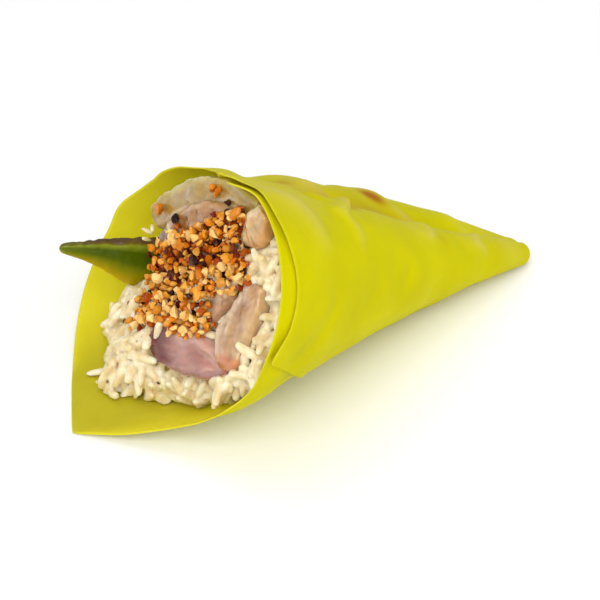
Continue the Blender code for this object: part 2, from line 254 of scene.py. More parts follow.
# soft creases: turn and reach at both ends, half width, height, strength of the painted highlight along the ridge
CREASES = [
    (128, 82, 164, 78.5, 1.6, 1.2, 0.5), (164, 79, 217, 92.5, 1.5, 1.5, 0.5), (211, 92.5, 238, 91.5, 1.5, 0.9, 0.3),
    (136, 75, 160, 75.5, 1.8, -1.2, 0.0), (158, 75.5, 224, 89.5, 1.8, -1.1, 0.0), (206, 117, 238, 107, 3.0, 0.8, 0.35),
    (180, 98, 222, 98, 2.0, -1.0, 0.0), (134, 55, 204, 54, 1.8, 0.9, 0.5), (200, 54, 229, 59, 1.8, 0.8, 0.4),
    (150, 31, 228, 38, 1.3, 0.6, 0.5), (226, 38, 243, 34, 1.2, 0.5, 0.4), (190, 64, 238, 68, 2.6, -0.6, 0.0),
    (222, 46, 248, 42, 2.0, -0.5, 0.0), (256, 104, 281, 119, 1.6, -0.7, 0.0), (247, 71, 261, 74, 1.4, -0.5, 0.0),
    (250, 84, 264, 92, 2.2, -0.35, 0.0), (60, 96, 128, 104, 2.8, 0.9, 0.2), (76, 78, 128, 70, 3.2, -0.8, 0.0),
    (96, 60, 134, 55, 2.4, 0.9, 0.3), (40, 70, 84, 58, 2.8, 0.7, 0.0), (100, 40, 150, 31, 1.8, 0.6, 0.3),
    (262, 60, 300, 52, 2.4, -0.4, 0.0), (20, 124, 48, 112, 3.5, 0.5, 0.0), (246, 118, 262, 108, 2.2, 0.35, 0.0),
]


def unrolled(turn, reach):
    """Place on the sheet as if it lay flat, in millimetres."""
    angle = np.radians(turn) * math.sin(math.radians(16.6))
    return np.stack([reach * np.cos(angle), reach * np.sin(angle)], -1)


def creases(turn, reach):
    """Height of the soft creases pressed into the sheet, and the painted highlight along their ridges."""
    here = unrolled(turn, reach)
    total = np.zeros(here.shape[:-1])
    painted_sheen = np.zeros(here.shape[:-1])
    for turn_0, reach_0, turn_1, reach_1, width, height, sheen_strength in CREASES:
        start = unrolled(turn_0, reach_0)
        run = unrolled(turn_1, reach_1) - start
        length = math.hypot(*run)
        along = ((here - start) @ run) / length
        across = ((here - start) @ np.array([-run[1], run[0]])) / length
        across = across - 0.12 * length * np.sin(np.pi * np.clip(along / length, 0, 1))
        profile = np.exp(-(across / np.where(across > 0, width, 1.6 * width)) ** 2)
        ends = ease(-0.15 * length, 0.3 * length, along) * ease(-0.15 * length, 0.3 * length, length - along)
        total += CREASE_DEPTH * height * profile * ends
        painted_sheen += sheen_strength * profile ** 2 * ends
    return total, painted_sheen


def layer_lift(turn, reach):
    """How far the sheet stands out where it comes round over its own first part."""
    fold = FOLD_HEIGHT * np.exp(-((turn - 190) / 15) ** 2 - ((reach - 100) / 15) ** 2)
    return (PAPER + LAYER_GAP) * ease(165, 204, turn) + fold


def sheet_end(reach):
    """Turn of the sheet's last edge, which winds up to the front near the tip."""
    return SHEET_END - 34 * (1 - ease(15, 47, reach))


def rim(turn):
    """Distance from the apex to the sheet's rim."""
    return np.where(turn < 0, smooth_curve(RIM_BEFORE_CORNER, turn), smooth_curve(RIM_AFTER_CORNER, turn))


def rim_curl(turn, reach):
    """The first layer bulges out to the next one's edge and its rim curls in; the last corner lifts a little."""
    front = ease(-146, -128, turn) * (1 - ease(-60, -30, turn))
    first = front * (0.8 * ease(108, 117, reach) - 1.5 * ease(-6, 0, reach - rim(turn)))
    corner = 0.9 * ease(272, 290, turn) * ease(98, 112, reach)
    return first + corner


def sheet_surface(turn, reach):
    """Outer face of the sheet with its creases and its slight unevenness."""
    flat = wall_points(turn, reach)
    near_tip = ease(16, 36, reach)
    wave = creases(turn, reach)[0] + relief(flat, 16.0, 0.35, 2) + relief(flat, 5.0, 0.09, 2)
    hidden = (turn < -30) & (reach < 108)
    doubled = ((turn < -30) | (turn > 204)) & ~hidden
    wave = np.where(hidden, np.minimum(wave, 0) * 0.3, wave)
    wave = np.where(doubled, np.maximum(wave, -0.5), wave)
    lift = layer_lift(turn, reach) + PAPER + wave * near_tip + rim_curl(turn, reach)
    return rest_on_table(wall_points(turn, reach, lift))


def make_wrap():
    """The rolled sheet, its tip closed by the layers running together over a rounded nose."""
    shares = np.concatenate([np.linspace(-1, 0, 120, endpoint=False), np.linspace(0, 1, 300)])
    rows = np.linspace(0, 1, 110)
    rim_turn = np.where(shares < 0, -shares * SHEET_START, shares * SHEET_END)
    reach = NOSE_START + (rim(rim_turn)[None, :] - NOSE_START) * rows[:, None]
    turn = np.where(shares < 0, rim_turn, shares * sheet_end(reach))
    body = sheet_surface(turn, reach)
    first = body[0]
    full_turns = np.linspace(0, 360, 90, endpoint=False)
    middle = wall_points(full_turns, np.full(90, NOSE_START), PAPER).mean(axis=0)
    cap = []
    for bend in np.radians([87, 78, 68, 57, 46, 35, 23, 11]):
        centre = middle - NOSE_RADIUS * math.sin(bend) * axis(FILLING_TILT)
        cap.append(centre + math.cos(bend) * (first - middle))
    points = np.concatenate([np.array(cap), body])
    points[..., 2] = np.maximum(points[..., 2], 0.02)
    wrap = new_object("wrap_sheet", points, grid_faces(len(points), len(shares)))
    place = np.concatenate([np.repeat(reach[:1], len(cap), axis=0), reach]).ravel()
    turns = np.concatenate([np.repeat(turn[:1], len(cap), axis=0), turn]).ravel()
    # toast marks, and painted shade along the top ridge
    paint(wrap, "toast_and_top_shade", toasted(turns, place))
    # painted sheen: paler patches, and painted highlights along the crease ridges
    paint(wrap, "painted_sheen", sheen_patches(turns, place) + creases(turns, place)[1])
    solid = wrap.modifiers.new("thickness", "SOLIDIFY")
    solid.thickness = SHEET_THICKNESS * MM
    inwards = faces_inwards(wrap)
    solid.offset = 1.0 if inwards else -1.0
    solid.material_offset = 1
    finish_piece(wrap, soy_paper(inside=inwards), "soy_paper", "wrap")
    wrap.data.materials.append(soy_paper(inside=not inwards))
    return wrap


def faces_inwards(piece):
    """Whether a sheet's faces look towards the roll's middle line."""
    face = piece.data.polygons[len(piece.data.polygons) // 2]
    rel = np.array(face.center) / MM - APEX
    out = rel - (rel @ axis(FILLING_TILT)) * axis(FILLING_TILT)
    return float(np.array(face.normal) @ out) < 0


def blot(turn, reach, middle, size):
    """Soft round mark at (turn, reach), 1 in its middle."""
    away = (unrolled(turn, reach) - unrolled(*middle)) / size
    return np.exp(-(away ** 2).sum(-1))


def toasted(turn, reach):
    """Where the sheet has faint brown toast marks, plus a painted shade: a tan band along the top of the roll."""
    marks = [((133, 58), (2.6, 2.6), 1.0), ((128, 60), (1.8, 2.4), 0.6), ((131, 87), (3.0, 1.8), 0.45),
             ((131, 95), (2.2, 2.0), 0.6), ((206, 112), (3.0, 1.4), 0.25), ((226, 52), (2.4, 1.6), 0.2)]
    total = np.zeros(turn.shape)
    for middle, size, strength in marks:
        total += strength * blot(turn, reach, middle, size)
    # painted shade: a tan band along the top ridge, where less light falls
    ridge = np.exp(-((turn - 166) / 24) ** 2) * ease(42, 66, reach) * (1 - ease(104, 118, reach))
    return total + 0.38 * ridge


def sheen_patches(turn, reach):
    """Where the sheet gets a painted sheen: paler patches on its upper part."""
    marks = [((208, 112), (9.0, 9.0), 0.35), ((140, 84), (9.0, 9.0), 0.35), ((206, 38), (5.0, 5.0), 0.3),
             ((196, 22), (8.0, 5.0), 0.3), ((214, 60), (5.0, 5.0), 0.2), ((170, 100), (9.0, 9.0), 0.3)]
    total = np.zeros(turn.shape)
    for middle, size, strength in marks:
        total += strength * blot(turn, reach, middle, size)
    return total


# ---------------------------------------------------------------- material helpers

def material(name, roughness, specular=0.5):
    """New material with its Principled shader's plain numbers set."""
    made = bpy.data.materials.new(name)
    made.use_nodes = True
    shader = made.node_tree.nodes["Principled BSDF"]
    shader.inputs["Roughness"].default_value = roughness
    shader.inputs["Specular IOR Level"].default_value = specular
    return made, made.node_tree, shader


def node(tree, kind, **settings):
    """Add a node and set its properties."""
    added = tree.nodes.new(kind)
    for key, value in settings.items():
        setattr(added, key, value)
    return added


def object_place(tree):
    """Coordinates fixed to the piece, in metres."""
    return node(tree, "ShaderNodeTexCoord").outputs["Object"]


def noise_value(tree, scale, detail=3.0, distortion=0.0):
    """Noise between 0 and 1 with features of about 1 / scale metres."""
    texture = node(tree, "ShaderNodeTexNoise")
    texture.inputs["Scale"].default_value = scale
    texture.inputs["Detail"].default_value = detail
    texture.inputs["Distortion"].default_value = distortion
    tree.links.new(object_place(tree), texture.inputs["Vector"])
    return texture.outputs["Fac"]


def ramp(tree, value, stops):
    """Colour or grey ramp over (position, colour) stops."""
    made = node(tree, "ShaderNodeValToRGB")
    while len(made.color_ramp.elements) < len(stops):
        made.color_ramp.elements.new(0.5)
    for element, (position, colour) in zip(made.color_ramp.elements, stops):
        element.position = position
        element.color = (*colour, 1.0)
    tree.links.new(value, made.inputs["Fac"])
    return made.outputs["Color"]


def mix(tree, factor, first, second, kind="MIX"):
    """Mix two colours, each a socket or an (r, g, b) colour, by a socket or a number."""
    made = node(tree, "ShaderNodeMix", data_type="RGBA", blend_type=kind)
    for value, socket in ((factor, made.inputs[0]), (first, made.inputs[6]), (second, made.inputs[7])):
        if isinstance(value, bpy.types.NodeSocket):
            tree.links.new(value, socket)
        elif isinstance(value, tuple):
            socket.default_value = (*value, 1.0)
        else:
            socket.default_value = value
    return made.outputs[2]


def attribute(tree, name):
    """A painted attribute."""
    return node(tree, "ShaderNodeAttribute", attribute_name=name)


def bump(tree, shader, height, strength, distance):
    """Fine relief from a height value; distance in metres."""
    made = node(tree, "ShaderNodeBump")
    made.inputs["Strength"].default_value = strength
    made.inputs["Distance"].default_value = distance
    tree.links.new(height, made.inputs["Height"])
    tree.links.new(made.outputs["Normal"], shader.inputs["Normal"])


def srgb(red, green, blue):
    """Linear colour from 0 to 255 display values."""
    def linear(value):
        value = value / 255
        return value / 12.92 if value <= 0.04045 else ((value + 0.055) / 1.055) ** 2.4
    return (linear(red), linear(green), linear(blue))


def finish_piece(piece, look, slot, *nodes):
    """Give a piece its material, record its body and hide the solids that it stands for; the slot is not used."""
    piece.data.materials.append(look)
    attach(piece, "root")
    if nodes:
        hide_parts(*nodes)


def soy_paper(inside=False):
    """Thin bright yellow-green soy paper, satin, faintly mottled; its inner face is a little duller and paler, a
    painted sheen.
    """
    look, tree, shader = material("soy_paper_inside" if inside else "soy_paper_look", 0.5, 0.02)
    # the inner face's paler, less yellow tints are a painted sheen on the same paper
    tints = [srgb(200, 183, 34), srgb(208, 193, 48)] if inside else [srgb(193, 185, 0), srgb(203, 195, 0)]
    base = ramp(tree, noise_value(tree, 70, 4), [(0.3, tints[0]), (0.7, tints[1])])
    # painted sheen, mixed in towards a pale olive
    painted_sheen = mix(tree, attribute(tree, "painted_sheen").outputs["Fac"], base, srgb(206, 190, 96))
    # brown of the toast marks and of the painted shade along the top ridge
    toast_and_top_shade = mix(tree, attribute(tree, "toast_and_top_shade").outputs["Fac"], painted_sheen, srgb(168, 104, 16))
    tree.links.new(toast_and_top_shade, shader.inputs["Base Color"])
    shader.inputs["Subsurface Weight"].default_value = 0.7 if inside else 0.2
    shader.inputs["Subsurface Radius"].default_value = (1.0, 0.95, 0.3)
    shader.inputs["Subsurface Scale"].default_value = 0.003 if inside else 0.0012
    bump(tree, shader, noise_value(tree, 230, 8, 0.62), 0.3, 0.0006)
    return look


# ---------------------------------------------------------------- small pieces joined into one

class Spots:
    """Places kept at least a spacing apart, found again through coarse cells."""

    def __init__(self, cell):
        self.cell = cell
        self.cells = {}

    def key(self, place):
        return tuple(int(math.floor(value / self.cell)) for value in place)

    def is_free(self, place, spacing):
        """Whether no kept place is nearer than the spacing, which is at most one cell."""
        home = self.key(place)
        for dx in (-1, 0, 1):
            for dy in (-1, 0, 1):
                for dz in (-1, 0, 1):
                    for other in self.cells.get((home[0] + dx, home[1] + dy, home[2] + dz), ()):
                        if math.dist(place, other) < spacing:
                            return False
        return True

    def keep(self, place):
        self.cells.setdefault(self.key(place), []).append(tuple(place))


class Scatter:
    """Joins many copies of small forms into one mesh, each with its own tint."""

    def __init__(self):
        self.count = 0
        self.points = []
        self.faces = []
        self.tints = []

    def add(self, points, faces, tint):
        self.faces += [tuple(index + self.count for index in face) for face in faces]
        self.count += len(points)
        self.points.append(points)
        self.tints.append(np.tile(tint, (len(points), 1)))

    def make(self, name):
        piece = new_object(name, np.concatenate(self.points), self.faces)
        paint(piece, "tint", np.concatenate(self.tints))
        return piece


def turned(points, direction, normal, roll):
    """Points of a form along X, turned to lie along direction and rolled about it from the normal."""
    first = direction / np.linalg.norm(direction)
    third = normal - (normal @ first) * first
    third = third / max(np.linalg.norm(third), 1e-6)
    second = np.cross(third, first)
    frame_turn = np.array([first, second, third]).T
    spin = np.array([[1, 0, 0], [0, math.cos(roll), -math.sin(roll)], [0, math.sin(roll), math.cos(roll)]])
    return points @ (frame_turn @ spin).T


def tree_of(piece):
    """Search tree of a piece's surface, in millimetres."""
    form = bmesh.new()
    form.from_mesh(piece.data)
    form.transform(Matrix.Scale(1 / MM, 4))
    found = BVHTree.FromBMesh(form)
    form.free()
    return found


def depth_inside(place, trees):
    """How deep a place lies inside one of the solids, 0 outside all."""
    deepest = 0.0
    for tree in trees:
        near, normal, _, distance = tree.find_nearest(Vector(place))
        if near is not None and (Vector(place) - near).dot(normal) < 0:
            deepest = max(deepest, distance)
    return deepest


def first_hit(start, direction, trees):
    """First surface met along a direction, as (place, normal)."""
    best = None
    for tree in trees:
        place, normal, _, distance = tree.ray_cast(Vector(start), direction)
        if place is not None and (best is None or distance < best[2]):
            best = (np.array(place), np.array(normal), distance)
    return None if best is None else best[:2]


# ---------------------------------------------------------------- rice

# grains lying by themselves: side, height, along
STRAY_GRAINS = [(20.6, 5.0, 114.5), (22.3, 3.2, 114.5), (21.0, 1.6, 115.0)]


RICE_WHITE = (srgb(224, 202, 150), srgb(246, 234, 204))
# darker, warmer rice tints: painted shade where the core shows between the grains
RICE_GAP_SHADE = (srgb(186, 154, 84), srgb(208, 180, 112))


def rice_surface(turn, share_out, depth=0.0):
    """Front of the rice bed: share_out 0 in the middle, 1 at the wall; depth is how far under it."""
    edge = wall_points(turn, smooth_curve(RICE_EDGE, turn), -0.85, np.minimum(smooth_curve(RICE_SHARE, turn), 1))
    edge[..., 2] = np.maximum(edge[..., 2], PAPER + 0.35)
    middle = inner_points(112.5, -3, -2)
    points = middle + (edge - middle) * share_out[..., None]
    rise = 4.0 * np.sqrt(np.clip(1 - share_out ** 2, 0, 1)) - 2.0 * (share_out < 0.99)
    side = (points - APEX)[..., 1]
    height = (points - APEX) @ upright(FILLING_TILT)
    along = (points - APEX) @ axis(FILLING_TILT) + rise
    for lump_side, lump_height, radius, lump_along in RICE_LUMPS:
        share = np.exp(-((side - lump_side) ** 2 + (height - lump_height) ** 2) / radius ** 2)
        along = along + (lump_along - along) * share
    return inner_points(along - depth, side, height)


def make_rice_core():
    """Solid core under the grains, a little smaller than the rice bed, in darker tints as painted shade between the
    grains.
    """
    columns = 96
    turns = np.linspace(-150, 210, columns, endpoint=False)
    rings = []
    for depth_share in (0.3, 0.45, 0.65, 0.8, 0.9, 0.97):
        reach = smooth_curve(RICE_EDGE, turns) * depth_share - 3.0
        free = 1 - np.minimum(smooth_curve(RICE_SHARE, turns), 1.0)
        ring = wall_points(turns, reach, -1.9, 1 - free * ease(50, 88, reach))
        ring[:, 2] = np.maximum(ring[:, 2], PAPER + 0.6)
        rings.append(ring)
    for share in (0.93, 0.84, 0.7, 0.55, 0.4, 0.25, 0.1):
        ring = rice_surface(turns, np.full(columns, share), 2.3)
        ring += relief(ring, 4.0, 1.0)[:, None] * axis(FILLING_TILT)
        ring[:, 2] = np.maximum(ring[:, 2], PAPER + 0.6)
        rings.append(ring)
    points = np.concatenate(rings)
    faces = grid_faces(len(rings), columns, closed=True)
    ends = [rings[0].mean(axis=0), rings[-1].mean(axis=0)]
    count = len(points)
    last = count - columns
    faces += [(k, (k + 1) % columns, count) for k in range(columns)]
    faces += [(last + k, last + (k + 1) % columns, count + 1) for k in range(columns)]
    core = new_object("rice_core", np.vstack([points, ends]), faces)
    orient_outwards(core)
    finish_piece(core, rice_look("rice_core_look", RICE_GAP_SHADE), "cooked_rice", "rice")
    return core


def grain_form(draw, segments=8, rings=7):
    """One cooked rice grain along X: plump, a little bent, blunt or slightly pinched at the ends."""
    length = draw.uniform(6.0, 8.2)
    width = draw.uniform(1.08, 1.34)
    bend = draw.uniform(0.0, 0.07) * length
    lean = draw.uniform(-0.25, 0.25)
    blunt = draw.uniform(0.42, 0.6)
    points = [(-0.5 * length, 0.0, 0.0)]
    for row in range(1, rings):
        angle = math.pi * row / rings
        share = -math.cos(angle)
        radius = width * math.sin(angle) ** blunt * (1 + lean * share)
        curve = bend * (1 - share * share)
        for k in range(segments):
            around = 2 * math.pi * k / segments
            points.append((0.5 * length * share, radius * math.cos(around) + curve,
                           0.86 * radius * math.sin(around)))
    points.append((0.5 * length, 0.0, 0.0))
    faces = []
    last = len(points) - 1
    for k in range(segments):
        following = (k + 1) % segments
        faces.append((0, 1 + following, 1 + k))
        for row in range(rings - 2):
            a, b = 1 + row * segments + k, 1 + row * segments + following
            faces.append((a, b, b + segments, a + segments))
        faces.append((last, last - segments + k, last - segments + following))
    return np.array(points), faces


def front_normal(turn, share):
    """Direction out of the rice bed."""
    here = rice_surface(np.array([turn, turn + 2, turn]), np.array([share, share, share - 0.02]))
    normal = np.cross(here[1] - here[0], here[2] - here[0])
    normal = normal / np.linalg.norm(normal)
    return normal if normal @ axis(FILLING_TILT) > 0 else -normal


def make_rice_grains(blockers):
    """Cooked grains heaped in loose lumps over the core, some of them sticking out."""
    draw = random.Random(7)
    grains = Scatter()
    for depth, spacing, tries, tilt in ((1.9, 2.5, 4200, 0.15), (0.8, 2.65, 4200, 0.3), (-0.5, 2.95, 3600, 0.45)):
        spots = Spots(3.0)
        for _ in range(tries):
            turn = draw.uniform(-150, 210)
            share = draw.uniform(0.02, 1.0) ** 0.6 * 0.99
            place = rice_surface(np.array([turn]), np.array([share]), depth)[0]
            if not spots.is_free(place, spacing):
                continue
            lump = noise.noise(Vector(place / 6.5))
            if depth < 0 and lump < -0.1:
                continue
            normal = front_normal(turn, share)
            place = place + 1.6 * lump * normal
            spots.keep(place)
            if depth_inside(place, blockers) > 0.4:
                continue
            spin = draw.uniform(0, 2 * math.pi)
            tangent = np.cross(normal, [math.cos(spin), math.sin(spin), 0.3])
            direction = tangent / np.linalg.norm(tangent) + draw.gauss(0, tilt) * normal
            form, faces = grain_form(draw)
            grain = turned(form, direction, normal, draw.uniform(0, 6.28)) + place
            grains.add(keep_inside(grain, 0.2), faces, (1.0, 1.0, 1.0))
    for side, height, along in STRAY_GRAINS:
        form, faces = grain_form(draw)
        direction = np.array([draw.gauss(0, 1) for _ in range(3)])
        grain = turned(0.5 * form, direction, axis(FILLING_TILT), 0.0) + inner_points(along, side, height)
        grains.add(keep_inside(grain, 0.2), faces, (1.0, 1.0, 1.0))
    piece = grains.make("rice_grains")
    fuse(piece, 0.28)
    finish_piece(piece, rice_look("rice_grain_look", RICE_WHITE), "cooked_rice", "rice")
    return piece


FUSED_SHARE = 0.48


def fuse(piece, cell):
    """Grow the grains together where they touch, as sticky rice does."""
    skin = piece.modifiers.new("skin", "REMESH")
    skin.mode = "VOXEL"
    skin.voxel_size = cell * MM
    soft = piece.modifiers.new("soft", "SMOOTH")
    soft.factor = 0.4
    soft.iterations = 1
    thin = piece.modifiers.new("thin", "DECIMATE")
    thin.ratio = FUSED_SHARE
    graph = bpy.context.evaluated_depsgraph_get()
    piece.data = bpy.data.meshes.new_from_object(piece.evaluated_get(graph))
    piece.modifiers.clear()
    for face in piece.data.polygons:
        face.use_smooth = True


def rice_look(name, tints):
    """Moist cooked rice, slightly see-through."""
    look, tree, shader = material(name, 0.3, 0.3)
    mottled = ramp(tree, noise_value(tree, 330, 2), [(0.35, tints[0]), (0.62, tints[1])])
    tree.links.new(mottled, shader.inputs["Base Color"])
    shader.inputs["Subsurface Weight"].default_value = 0.8
    shader.inputs["Subsurface Radius"].default_value = (1.0, 0.8, 0.42)
    shader.inputs["Subsurface Scale"].default_value = 0.0018
    shader.inputs["Coat Weight"].default_value = 0.3
    shader.inputs["Coat Roughness"].default_value = 0.22
    bump(tree, shader, noise_value(tree, 700, 2), 0.12, 0.0002)
    return look


# ---------------------------------------------------------------- fish

# name, spine as (side, height) at the mouth, half widths, front, slope, depth
SLICES = [
    ("fish_1", [(28, 4), (23, 9.5), (13.5, 18.2), (1.5, 25.4), (-12.5, 27.8)], [3.4, 4.2, 4.0, 3.5, 3.0],
     110.5, (-0.05, 0.0), 10),
    ("fish_2", [(20.3, 1.6), (15.4, 8.2), (9.3, 13.9), (1.5, 19.4), (-6.5, 22)], [2.5, 2.9, 3.1, 3.0, 2.5],
     112.3, (-0.05, 0.0), 24),
    ("fish_3", [(-18.0, 30.4), (-16.9, 26.0), (-14.2, 22.2)], [3.0, 4.9, 3.2], 114.0, (0.0, 0.0), 24),
    ("fish_4", [(-21.6, 13), (-21.8, 9), (-20.8, 4), (-20.8, -1.5), (-22.4, -6.5)],
     [3.2, 4.6, 5.2, 5.7, 4.6], 114.8, (0.0, -0.22), 30),
    ("fish_5", [(1.6, -15), (-6.5, -12.6), (-14, -11), (-20, -9.8), (-24.4, -9)], [4.4, 6.0, 5.4, 3.0, 0.9],
     118.0, (0.15, 0.0), 34),
    ("fish_6", [(13, 2.2), (4, 6.4), (-5, 9.8), (-12.4, 15.2)], [2.4, 3.0, 3.0, 2.2],
     113.5, (0.0, 0.0), 32),
    ("fish_7", [(15, -2.6), (9, -4.6), (2, -3.8), (-5, -1.8)], [2.2, 3.0, 3.0, 2.6],
     113.5, (0.0, 0.0), 26),
    ("fish_8", [(-14.4, 7.6), (-11.6, 3.2), (-10.8, -1.5)], [1.6, 2.2, 1.9], 115.2, (0.0, 0.0), 24),
]
SLICE_STEPS = 30
CAP_ANGLES = [75, 50, 25, 0, -25, -50, -75]


def ribbon(spine, half_widths, grow):
    """Closed outline in the mouth plane round a bent spine, as rows of (side, height)."""
    knots = np.arange(len(spine))
    side = list(zip(knots, [point[0] for point in spine]))
    height = list(zip(knots, [point[1] for point in spine]))
    widths = list(zip(knots, half_widths))
    t = np.linspace(0, knots[-1], SLICE_STEPS + 1)
    here = np.stack([smooth_curve(side, t), smooth_curve(height, t)], -1)
    run = np.gradient(here, axis=0)
    run = run / np.linalg.norm(run, axis=1)[:, None]
    across = np.stack([-run[:, 1], run[:, 0]], -1)
    half = np.maximum(smooth_curve(widths, t) + grow, 0.15)[:, None]
    caps = []
    for end, direction in ((-1, 1), (0, -1)):
        arc = []
        for angle in np.radians(CAP_ANGLES):
            out = 0.42 * half[end] * math.cos(angle) * direction * run[end]
            arc.append(here[end] + out + direction * math.sin(angle) * half[end] * across[end])
        caps.append(np.array(arc))
    return np.vstack([here + across * half, caps[0], (here - across * half)[::-1], caps[1]])


def ladder(base, count):
    """Close a slice's front by rungs between its two sides, with a fan over each rounded end."""
    cap = len(CAP_ANGLES)
    far = base + SLICE_STEPS
    faces = []
    for k in range(SLICE_STEPS):
        opposite = base + count - cap - 1 - k
        faces.append((base + k, base + k + 1, opposite - 1, opposite))
    faces.append(tuple(range(far, far + cap + 2)))
    faces.append((base + count - cap - 1, *range(base + count - cap, base + count), base))
    return faces


def make_slice(name, spine, half_widths, front, slope, depth):
    """A slice of fish with a rounded, slightly uneven front edge, running into the roll."""
    middle = spine[len(spine) // 2]
    rings = []
    stations = [(-depth, 0.0), (-0.6 * depth, -0.1), (-8.0, -0.15), (-5.5, -0.2), (-4.0, -0.2), (-3.0, -0.2),
                (-2.2, -0.15), (-1.5, -0.05), (-0.95, 0.12), (-0.5, 0.36), (-0.2, 0.66), (0.0, 1.05)]
    for offset, inset in stations:
        side, height = ribbon(spine, half_widths, -inset).T
        tilt = slope[0] * (side - middle[0]) + slope[1] * (height - middle[1])
        along = front + offset + tilt
        scale = along / front
        rings.append(inner_points(along, side * scale, height * scale))
    columns = len(rings[0])
    points = np.concatenate(rings)
    faces = grid_faces(len(rings), columns, closed=True)
    faces.append(tuple(range(columns)))
    faces += ladder(len(points) - columns, columns)
    piece = new_object(name + "_slice", points, faces)
    orient_outwards(piece)
    split = bmesh.new()
    split.from_mesh(piece.data)
    front_faces = [face for face in split.faces if face.index >= len(faces) - SLICE_STEPS - 2]
    bmesh.ops.subdivide_edges(split, edges=[edge for edge in {e for f in front_faces for e in f.edges}
                                            if edge.calc_length() > 2.4 * MM], cuts=9, use_grid_fill=True)
    split.to_mesh(piece.data)
    split.free()
    points = np.array([vertex.co[:] for vertex in piece.data.vertices]) / MM
    normals = np.array([vertex.normal[:] for vertex in piece.data.vertices])
    wobble = relief(points, 6.0, 0.8, 2) + relief(points, 2.6, 0.5, 3)
    shifted = points + normals * wobble[:, None]
    piece.data.vertices.foreach_set("co", (keep_inside(shifted, 0.05) * MM).ravel())
    piece.data.update()
    along = (points - APEX) @ axis(FILLING_TILT)
    side = (points - APEX)[:, 1] * front / along
    height = (points - APEX) @ upright(FILLING_TILT) * front / along
    below = front + slope[0] * (side - middle[0]) + slope[1] * (height - middle[1]) - along
    share, across = place_in_slice(spine, half_widths, side, height)
    paint(piece, "tint", flesh_tint(name, points, share, across, below))
    finish_piece(piece, fish_look(), "raw_fish", name)
    return piece


# whitish streaks of the flesh: connective tissue lines, partly a painted highlight
STREAK_AND_GLINT = srgb(236, 214, 184)
# painted shade for the flesh down in the roll
FLESH_SHADE_DEEP = srgb(136, 92, 38)
PINK_TIP = srgb(206, 110, 56)
BLOOD_EDGE = srgb(104, 26, 18)
# colours of a slice: its middle, the edge left of its spine, the edge right of it
FLESH = {
    "fish_1": (srgb(178, 144, 66), srgb(190, 150, 96), srgb(192, 176, 86)),
    "fish_2": (srgb(172, 118, 58), srgb(160, 120, 82), srgb(198, 156, 108)),
    "fish_3": (srgb(214, 176, 122), srgb(238, 214, 178), srgb(198, 150, 88)),
    "fish_4": (srgb(190, 150, 112), srgb(238, 216, 188), srgb(214, 182, 140)),
    "fish_5": (srgb(186, 132, 120), srgb(156, 108, 110), srgb(204, 164, 152)),
    # fish_6 and fish_7, seen only between the crumbs, are darkened to the red-brown of those gaps: partly sauce,
    # partly painted shade
    "fish_6": (srgb(132, 72, 50), srgb(150, 96, 70), srgb(120, 60, 40)),
    "fish_7": (srgb(132, 72, 50), srgb(150, 96, 70), srgb(120, 60, 40)),
    "fish_8": (srgb(204, 176, 142), srgb(214, 190, 160), srgb(188, 140, 104)),
}


def blend(colour, other, share):
    """Blend an array of colours towards another colour by a share for each point."""
    share = np.clip(share, 0, 1)[:, None]
    return colour * (1 - share) + np.array(other) * share


def place_in_slice(spine, half_widths, side, height):
    """Where points lie in a slice: 0 to 1 along its spine, 1 to -1 from its left edge to its right."""
    knots = np.arange(len(spine))
    t = np.linspace(0, knots[-1], 80)
    line = np.stack([smooth_curve(list(zip(knots, column)), t) for column in zip(*spine)], -1)
    run = np.gradient(line, axis=0)
    run = run / np.linalg.norm(run, axis=1)[:, None]
    away = np.stack([side, height], -1)[:, None] - line[None]
    near = np.argmin((away ** 2).sum(axis=-1), axis=1)
    gap = away[np.arange(len(near)), near]
    across = (gap[:, 1] * run[near, 0] - gap[:, 0] * run[near, 1]) / smooth_curve(list(zip(knots, half_widths)), t[near])
    return t[near] / knots[-1], across


def flesh_tint(name, points, share, across, below):
    """Colour of each point of a slice: paler or darker edges, faint fibres, and painted shade that darkens it down in
    the roll.
    """
    middle, left, right = FLESH[name]
    fibres = relief(np.stack([share * 3.5, across * 3.2, below * 0.4], -1), 1.0, 1.0, 3)
    patches = relief(points, 5.0, 1.0, 2)
    colour = np.array(middle) * (1 + 0.2 * fibres + 0.16 * patches)[:, None]
    colour = blend(colour, left, 0.85 * ease(0.1, 0.95, across + 0.35 * fibres))
    colour = blend(colour, right, 0.85 * ease(0.1, 0.95, 0.35 * fibres - across))
    # a whitish seam along each slice: connective tissue, partly painted as a highlight
    seam = np.exp(-((across - 0.35 - 0.25 * np.sin(5 * share)) / 0.07) ** 2)
    colour = blend(colour, STREAK_AND_GLINT, 0.5 * seam * ease(-0.3, 0.4, patches))
    if name == "fish_2":
        colour = blend(colour, srgb(150, 128, 120), ease(0.24, 0.08, share))
        # painted highlight: a white line across fish_2 near its curled left end
        colour = blend(colour, STREAK_AND_GLINT, 0.9 * np.exp(-((share - 0.17) / 0.03) ** 2))
    if name == "fish_4":
        colour = blend(colour, PINK_TIP, 0.75 * ease(0.86, 1.0, share))
    if name == "fish_5":
        colour = blend(colour, BLOOD_EDGE, 0.95 * ease(0.24, 0.1, share + 0.04 * fibres))
        colour = blend(colour, PINK_TIP, 0.8 * ease(0.84, 1.0, share))
    # painted shade: darker brown the deeper a point lies below the front
    colour = blend(colour, FLESH_SHADE_DEEP, 0.85 * ease(1.2, 5.0, below))
    return np.clip(colour, 0, 1)


